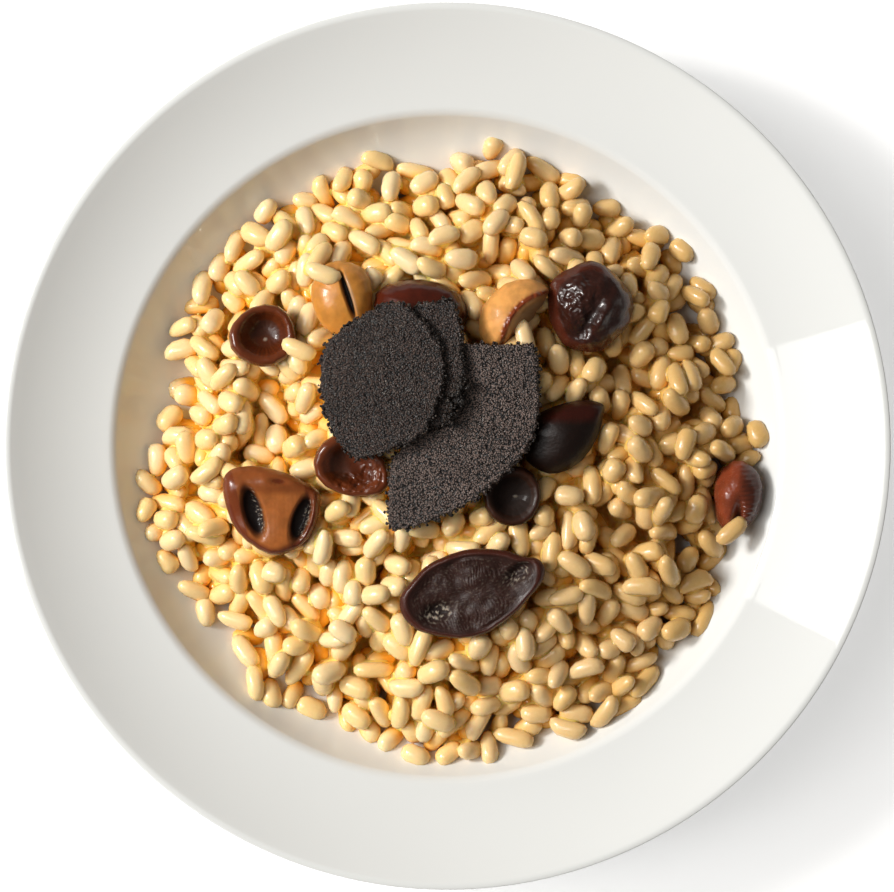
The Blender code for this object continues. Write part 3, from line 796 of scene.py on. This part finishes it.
def makeCups():
    skin = mushroomSkin("mushroom_cup", (0.085, 0.017, 0.004), (0.125, 0.028, 0.008), (0.03, 0.008, 0.002),
                        (0.3, 0.17, 0.1), 0.24, 0.3)
    left = Clay("mushroom_cup_left", dish)
    left.lumps(7, 0.9, 1)
    left.x += 1.2 * mm * (1 - left.share) * left.upper
    left.y += 0.9 * mm * (1 - left.share) * left.upper
    points = np.column_stack([left.x, left.y, left.z])
    waves = np.sin(left.angle * 30 + roughness(points, 2.5 * mm, 2) * 4)
    left.z += 0.1 * mm * waves * ring(left, 0.45, 0.82) * np.clip(np.cos(left.angle + 1.1), 0, 1) ** 2
    # painted shade: the hollow is coloured darker, most towards the upper side
    shade = np.clip(left.y / (2 * mm) + 0.8, 0.3, 1)
    left.mark(pit=ring(left, -1, 0.5) * 0.6 * shade, lip=ring(left, 0.66, 1.2))
    left.mark(crumb=left.dent(0.9, -0.9, 0.6, 0.45, 20, -0.12, 4) * 0.7)
    left.bake(skin, lean=(-6, 6))

    red = Clay("mushroom_cup_red", dish)
    red.lumps(6, 1.1, 2)
    points = np.column_stack([red.x, red.y, red.z])
    wet = ring(red, 0.25, 0.85) * np.clip(np.cos(red.angle + 0.9) + 0.3, 0, 1)
    crinkle = roughness(points * (1, 0.6, 1), 1.5 * mm, 3) * 0.9 + roughness(points, 0.8 * mm, 5) * 0.3
    red.z += crinkle * mm * wet
    # painted shade: the hollow is coloured darker towards the left, on the side the rim shades
    red.mark(pit=ring(red, -1, 0.6) * np.clip(-red.x / (3 * mm), 0, 0.7), lip=ring(red, 0.6, 1.2))
    red.bake(skin, lean=(4, 0))

    # painted shade: a darker copy of the cup skin, for the cup lying in the shavings' shadow
    shadedCupSkin = mushroomSkin("mushroom_cup_painted_shade", (0.02, 0.006, 0.002), (0.045, 0.011, 0.004),
                       (0.009, 0.003, 0.001), (0.2, 0.12, 0.08), 0.45, 0.4, 1, 0.06)
    shaded = Clay("mushroom_cup_shaded", dish)
    shaded.lumps(6, 0.8, 3)
    shaded.mark(pit=ring(shaded, -1, 0.7) * 0.9, lip=ring(shaded, 0.78, 1.2) * 0.4)
    shaded.mark(crumb=shaded.dent(1.1, -0.3, 0.6, 0.4, 10, -0.12, 4) * 0.4)
    shaded.bake(shadedCupSkin, lean=(3, 2))


def makeCaps():
    skin = mushroomSkin("mushroom_cap", (0.066, 0.0095, 0.0035), (0.08, 0.013, 0.005), nearBlack,
                        (0.42, 0.28, 0.12), 0.16, 0.15)
    back = Clay("mushroom_cap_back", dome)
    back.lumps(9, 0.8, 4)
    edge = np.clip((back.share - 0.93) / 0.05, 0, 1) * (back.along > 0.52)
    back.mark(flesh=edge * np.clip(np.cos(back.angle - 3.9) * 2, 0, 1), lip=ring(back, 0.8, 0.95) * 0.6)
    back.bake(skin, lean=(-7, 2))

    dark = mushroomSkin("mushroom_cap_dark", (0.032, 0.0085, 0.005), (0.08, 0.016, 0.007), nearBlack,
                        (0.1, 0.05, 0.03), 0.24, 0.7, 1.2)
    velvet = mushroomSkin("mushroom_cap_velvet", (0.009, 0.003, 0.0015), (0.04, 0.006, 0.003), nearBlack,
                          (0.1, 0.05, 0.03), 0.4, 0.5, 1, 0.05)
    pointed = Clay("mushroom_cap_pointed", dome)
    pointed.lumps(8, 0.9, 5)
    pointed.mark(lip=np.clip((pointed.y / mm - 3) / 3, 0, 0.7) * pointed.upper)
    pointed.bake(velvet, lean=(0, 2))

    big = Clay("mushroom_cap_round", dome, 192, 110)
    big.lumps(5, 1.2, 6)
    groove = big.dent(-0.6, -3, 6.5, 1.7, 60, 1.1)
    big.dent(2.0, -3.6, 6.5, 1.5, 60, -1.0)
    big.dent(-3.4, 2.5, 6, 4, 40, -0.7)
    points = np.column_stack([big.x, big.y, big.z])
    crinkle = roughness(points, 2.2 * mm, 7) * 0.45 + roughness(points, 1.0 * mm, 17) * 0.3
    crinkle *= np.clip((0.86 - big.share) / 0.1, 0, 1) * np.clip(0.7 - big.x / (9 * mm), 0, 1)
    big.z += crinkle * mm * big.upper
    # painted shade: the groove is coloured near-black
    big.mark(pit=groove * 0.7, lip=ring(big, 0.8, 1.2) * 0.8)
    big.bake(dark, lean=(4, 4))


def makeLong():
    paint = mushroomSkin("mushroom_long", (0.027, 0.009, 0.006), (0.06, 0.015, 0.009), nearBlack,
                         (0.32, 0.2, 0.12), 0.42, 0.6, 0.5, 0.06)
    rows = [(0, 5.8), (0.3, 5.7), (0.55, 5.6), (0.74, 5.65), (0.84, 6.1), (0.91, 6.5), (0.96, 6.1), (1, 4.7),
            (0.94, 2.7), (0.75, 1), (0.4, 0.2), (0, 0)]
    long = Clay("mushroom_cap_long", rows, 224, 120)
    inside = np.clip((0.86 - long.share) / 0.08, 0, 1) * long.upper
    along = (long.x * 0.95 + long.y * 0.31) / mm
    across = (-long.x * 0.31 + long.y * 0.95) / mm
    saddle = 0.9 * np.exp(-(((along - 3) / 5) ** 2)) - 0.5 * np.exp(-(((along + 3) / 2) ** 2))
    long.z += mm * inside * saddle
    left = long.dent(-9.5, -5.2, 4.2, 2.5, 20, 2.4, 3)
    right = long.dent(12.8, 5.8, 4.8, 2.1, 40, 2.0, 3)
    points = np.column_stack([long.x, long.y, long.z])
    waves = np.sin((along + roughness(points, 4 * mm, 3) * 1.8) * math.tau / 0.95)
    plain = inside * (1 - left) * (1 - right)
    waves *= 0.6 + 0.9 * roughness(points, 2 * mm, 31)
    long.z += 0.05 * mm * waves * plain
    long.mark(rib=(0.5 + 0.5 * waves) * plain * 0.3)
    long.z += 0.22 * mm * np.sin(across * math.tau / 1.2) * inside * right
    long.lumps(8, 1.0, 8)
    long.z += roughness(points, 2.4 * mm, 9) * 0.35 * mm * inside
    long.mark(pit=left, lip=ring(long, 0.87, 1.2))
    long.mark(pit=right * 0.6)
    sparkle(long, left, 0.8, 11)
    # painted glints: pale specks scattered over the ribbed skin
    sparkle(long, plain * 0.12, 0.55, 19)
    sparkle(long, right * 0.8, 0.6, 23)
    long.bake(paint, lean=(6, -3))


def makeRolled():
    paint = mushroomSkin("mushroom_rolled", (0.2, 0.04, 0.015), (0.08, 0.018, 0.009), nearBlack,
                         (0.16, 0.06, 0.03), 0.2, 0.4)
    rolled = Clay("mushroom_rolled", dome, 144, 96)
    rolled.lumps(6, 0.9, 10)
    cleft = rolled.dent(-0.3, -7, 5, 1.1, 78, 3.2)
    rolled.dent(3.4, 1, 9, 2.4, 80, 1.0)
    waves = np.sin(rolled.y / mm * math.tau / 1.3) * np.clip(rolled.x / (3 * mm), 0, 1) * rolled.upper
    rolled.z += 0.14 * mm * waves
    # painted shade: the cleft is coloured near-black, and the right side, turned from the light, gets the
    # darker lip colour
    rolled.mark(pit=cleft, lip=np.clip(rolled.x / (3 * mm) - 0.2, 0, 1))
    rolled.bake(paint, lean=(5, -14))


def makeTan():
    gilled = mushroomSkin("mushroom_gilled", (0.38, 0.115, 0.025), (0.13, 0.025, 0.008), nearBlack,
                          (0.26, 0.12, 0.045), 0.33, 0.25, 1, 0.2)
    broad = Clay("mushroom_slice_gilled", slab, 192, 110)
    broad.dent(0.5, 8.5, 6, 4, 0, -1.3)
    dimple = broad.dent(1.4, 8.6, 2.6, 1.0, -8, 0.8, 3)
    broad.dent(1.1, -1, 3.2, 9, 0, -0.5)
    left = broad.dent(-5.3, 0.0, 6.9, 2.4, -74, 3.8, 5)
    right = broad.dent(7.8, -2.0, 6.3, 2.3, 73, 3.8, 5)
    banks = [broad.dent(-4.1, 0.4, 6.3, 0.9, -74, 0, 3), broad.dent(9.3, -2.2, 5.8, 0.9, 73, 0, 3)]
    broad.lumps(8, 1.0, 12)
    outer = np.clip((broad.share - 0.76) / 0.12, 0, 1) * np.clip(1.3 - broad.y / (6 * mm), 0, 1)
    u = (broad.x + 0.25 * broad.y) / mm
    outer = np.maximum(outer, np.clip((-7.6 - u) / 1.2, 0, 0.9) + np.clip((u - 9.6) / 1.2, 0, 0.8))
    hump = np.clip((broad.y / mm - 4.5) / 3, 0, 0.55)
    for lip in (outer, dimple, hump):
        broad.mark(lip=lip)
    broad.mark(pit=np.maximum(left, right) * 1.6)
    broad.mark(rib=(0.5 + 0.5 * np.sin(broad.x / mm * math.tau / 1.2)) * 0.05 * (broad.share < 0.7))
    # pale granular specks along each slot's right bank, which also paint a highlight on its edge
    sparkle(broad, np.clip((banks[0] + banks[1]) * 1.2, 0, 0.8), 0.5, 13)
    broad.bake(gilled, "mushroom_tan", lean=(6, 4))

    pale = mushroomSkin("mushroom_pale", (0.57, 0.23, 0.04), (0.66, 0.33, 0.11), nearBlack,
                        (0.42, 0.21, 0.09), 0.28, 0.2, 1, 0.25)
    upper = Clay("mushroom_slice_upper", dome)
    slot = upper.dent(2.0, 0.3, 6.3, 0.8, -73, 3.2, 4)
    glintBank = upper.dent(3.1, 0.6, 5.8, 0.5, -73, 0, 3)
    upper.lumps(7, 0.7, 14)
    # painted highlight: a pale line in the crumb colour along the slot's right bank
    upper.mark(pit=np.clip(slot * 1.5, 0, 1), crumb=glintBank * 0.45)
    upper.bake(pale, "mushroom_tan", lean=(-5, -6))

    orange = mushroomSkin("mushroom_crescent", (0.68, 0.31, 0.082), (0.2, 0.04, 0.012), nearBlack,
                          (0.4, 0.22, 0.1), 0.42, 0.3, 1, 0.06)
    crescent = Clay("mushroom_crescent", dome, 160, 96)
    inward = 15.3 - np.hypot(crescent.x / mm - 12, crescent.y / mm + 9)
    lip = np.exp(-((inward / 0.9) ** 2)) * crescent.upper
    hollow = np.clip(inward / 1.6 - 0.4, 0, 1) * np.clip(crescent.upper * 2, 0, 1)
    points = np.column_stack([crescent.x, crescent.y, crescent.z])
    crinkle = lip * roughness(points, 0.9 * mm, 4) * 0.5
    crescent.z += mm * (0.5 * lip - 3.4 * hollow * np.clip(inward / 5, 0, 1) + crinkle)
    crescent.lumps(7, 0.6, 15)
    crescent.mark(lip=lip * 1.3, flesh=hollow)
    crescent.masks["flesh"] = crescent.masks["flesh"] * (1 - crescent.masks["lip"])
    crescent.bake(orange, "mushroom_tan")


for maker in (makeCups, makeCaps, makeLong, makeRolled, makeTan):
    maker()
print("mushrooms ready")

# ---------- truffle shavings

truffle = dict(
    voxel=0.27 * mm, relief=0.3 * mm, ragged=1.1 * mm, crumb=(0.5 * mm, 1.3 * mm), rimCrumbs=260,
    ridgeCrumbs=110, seed=5,
)


def truffleFlesh(name, dark, brown):
    paint = Paint(name, IOR=1.42)
    cloud = paint.noise(7 * mm, 3)
    bead = paint.cells(0.54 * mm)
    fine = paint.cells(0.33 * mm)
    height = 1 - paint.ranged(bead, 0, 0.75) + (1 - paint.ranged(fine, 0, 0.8)) * 0.35
    speck = paint.ranged(paint.noise(0.42 * mm, 2), 0.61, 0.68)
    body = paint.blend(paint.ranged(cloud, 0.35, 0.65), dark, brown)
    # painted shade: near-black in the hollows between the beads
    body = paint.blend(paint.ranged(height, 0.3, 1.1), (0.004, 0.003, 0.003), body)
    body = paint.blend(speck * 0.6, body, (0.26, 0.215, 0.18))
    rough = paint.ranged(paint.noise(1.1 * mm, 2), 0.35, 0.65, 0.2, 0.55)
    return paint.finish(Base_Color=body, Roughness=rough, Normal=paint.bump(height, 0.34 * mm, 1.0))


def makeShavings():
    # painted light: the fan shaving gets lighter flesh colours because it faces the light more; the others
    # get the darker copy
    dark, pale = ((0.085, 0.053, 0.043), (0.135, 0.086, 0.07)), ((0.25, 0.175, 0.148), (0.38, 0.27, 0.23))
    rims = []
    for number, part in enumerate(("fan", "back", "round")):
        name = "truffle_slice_" + part
        flesh = truffleFlesh("truffle_" + part, *(pale if part == "fan" else dark))
        piece = bpy.data.objects.new(name + "_shaved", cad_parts[name].data.copy())
        bpy.context.scene.collection.objects.link(piece)
        editSelected(piece, lambda vert: True)
        bpy.ops.mesh.remove_doubles(threshold=0.01 * mm)
        bpy.ops.mesh.normals_make_consistent(inside=False)
        bpy.ops.object.mode_set(mode="OBJECT")
        applyModifier(piece, "REMESH", mode="VOXEL", voxel_size=truffle["voxel"])
        points = pointsOf(piece)
        normals = np.array([vert.normal for vert in piece.data.vertices])
        side = 1 - np.abs(normals[:, 2])
        flat = points * (1, 1, 0.3)
        torn = roughness(flat, 2.6 * mm, number) * 0.5 + roughness(flat, 1.1 * mm, number + 4) * 1.1
        grain = roughness(points, 1.25 * mm, number + 8)
        push = side * torn * truffle["ragged"] + grain * truffle["relief"]
        points += normals * push[:, None]
        points[:, 2] += roughness(flat, 14 * mm, number + 12) * 0.5 * mm
        movePoints(piece, points)
        rims.append((points + normals * 0.3 * mm)[side > 0.7])
        keep(piece, flesh, "truffle", name)
    return rims


def makeCrumbs(rims):  # torn bits along the slices' edges, and loose ones
    draw = np.random.default_rng(truffle["seed"])
    spots = []
    for rim in rims:
        spots += [(*rim[i], 1.0) for i in draw.integers(len(rim), size=truffle["rimCrumbs"])]
    low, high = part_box("truffle_slice_round")
    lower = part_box("truffle_slice_back")[1]
    ridge = Vector((high.x + 2.8 * mm, low.y + 16 * mm, lower.z - 0.4 * mm))
    for _ in range(truffle["ridgeCrumbs"]):  # the crumbly ridge between the slices
        along = draw.uniform(-6, 6.5)
        across = 0.28 * along + draw.normal(0, 0.9)
        offset = Vector((across, along + draw.normal(0, 0.3), 0.6 + draw.uniform(-0.4, 1.1)))
        spots.append((*(ridge + offset * mm), draw.uniform(1.0, 2.1)))
    deselectAll()
    bpy.ops.mesh.primitive_ico_sphere_add(subdivisions=1, radius=1)
    ball = named("crumb")
    points = pointsOf(ball)
    faces = np.array([tuple(face.vertices) for face in ball.data.polygons])
    bpy.data.objects.remove(ball)
    clouds = []
    for x, y, z, size in spots:
        turn = np.array(Euler(draw.uniform(0, 6, 3)).to_matrix())
        shape = points * draw.uniform(0.6, 1.2, 3) * (1 + draw.normal(0, 0.12, (len(points), 1)))
        clouds.append(shape @ turn.T * draw.uniform(*truffle["crumb"]) / 2 * size + (x, y, z))
    corners = faces[None] + np.arange(len(clouds))[:, None, None] * len(points)
    piece = built("truffle_crumbs", np.concatenate(clouds).tolist(), [], corners.reshape(-1, 3).tolist())
    keep(piece, truffleFlesh("truffle_crumb", (0.022, 0.015, 0.011), (0.085, 0.045, 0.025)), "truffle")


makeCrumbs(makeShavings())
print("truffle ready")
